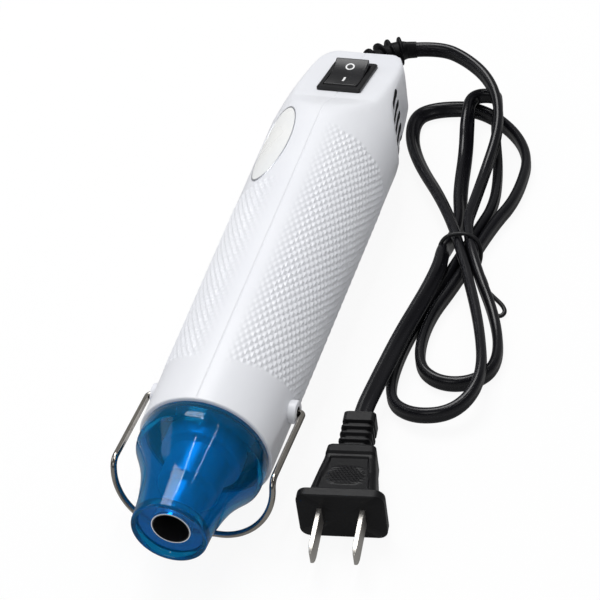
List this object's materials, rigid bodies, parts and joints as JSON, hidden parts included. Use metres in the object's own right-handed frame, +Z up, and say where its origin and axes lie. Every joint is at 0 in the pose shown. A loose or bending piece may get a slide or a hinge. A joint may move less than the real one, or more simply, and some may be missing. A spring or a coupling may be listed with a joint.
{
  "type": "embossing heat tool",
  "caption": "Round white hand-held heat tool with a blue nozzle guard, rear rocker switch, hinged wire stand and a tied flat cord with a two-blade plug.",
  "frame": {"origin": "on the bench under the middle of the tool's own bounding box, without the cord", "axes": "+X along the handle's axis towards the nozzle, +Z up with the switch on top, +Y towards the coiled cord"},
  "size_m": [0.2359, 0.0983, 0.0443],
  "materials": {
    "white_shell": "smooth and glossy, with pebbled grip panels",
    "screw_steel": "plated",
    "blue_guard": "clear-looking deep blue, high gloss",
    "tube_steel": "drawn, dark inside",
    "mica": "mica sheet",
    "coil_wire": "oxidised resistance wire",
    "fuse_body": "ceramic case",
    "ceramic": "unglazed ceramic",
    "can_steel": "zinc plated",
    "motor_cap": "moulded",
    "magnet": "sintered",
    "brass_tab": "stamped",
    "shaft_steel": "ground",
    "armature": "laminations",
    "fan_plastic": "moulded",
    "switch_black": "moulded",
    "rocker_black": "moulded, white O and I",
    "stand_wire": "bent bright wire",
    "black_rubber": "moulded",
    "board": "lacquered",
    "diode": "moulded",
    "cord_jacket": "glossy flat two-core jacket",
    "label_foil": "blank silver film",
    "plug_black": "moulded, fine texture",
    "plug_blade": "nickel plated",
    "tie_black": "coated wire"
  },
  "bodies": {
    "tool": {"housing_left": "white_shell", "housing_right": "white_shell", "housing_screws": "screw_steel", "nozzle_guard": "blue_guard", "nozzle_tube": "tube_steel", "mica_sleeve": "mica", "heater_former": "mica", "heater_coil": "coil_wire", "thermal_fuse": "fuse_body", "front_ring": "ceramic", "motor_can": "can_steel", "motor_cap": "motor_cap", "motor_magnets": "magnet", "motor_terminals": "brass_tab", "fan_shroud": "fan_plastic", "switch_body": "switch_black", "switch_terminals": "brass_tab", "strain_relief": "black_rubber", "cord_clamp": "fan_plastic", "clamp_screws": "screw_steel", "rectifier_board": "board", "rectifier_diodes": "diode", "inner_cord": "cord_jacket", "lead_wires": "cord_jacket", "label_plate": "label_foil", "plug_body": "plug_black", "plug_blades": "plug_blade", "cord_tie": "tie_black", "cord_hank": "cord_jacket", "cord_lead": "cord_jacket", "cord_tail": "cord_jacket"},
    "rocker": {"rocker": "rocker_black"},
    "stand": {"bail_wire": "stand_wire"},
    "rotor": {"motor_shaft": "shaft_steel", "motor_armature": "armature", "fan_impeller": "fan_plastic"}
  },
  "joints": [
    {"name": "rocker_tilt", "type": "hinge", "parent": "tool", "child": "rocker", "pos_m": [-0.08638, 0, 0.03365], "axis": [0, -1, 0], "range_deg": [0, 18]},
    {"name": "stand_swing", "type": "hinge", "parent": "tool", "child": "stand", "pos_m": [0.05545, 0, 0.0205], "axis": [0, 1, 0], "range_deg": [0, 118]},
    {"name": "rotor_spin", "type": "hinge", "parent": "tool", "child": "rotor", "pos_m": [-0.00535, 0, 0.0205], "axis": [1, 0, 0], "continuous": true}
  ]
}
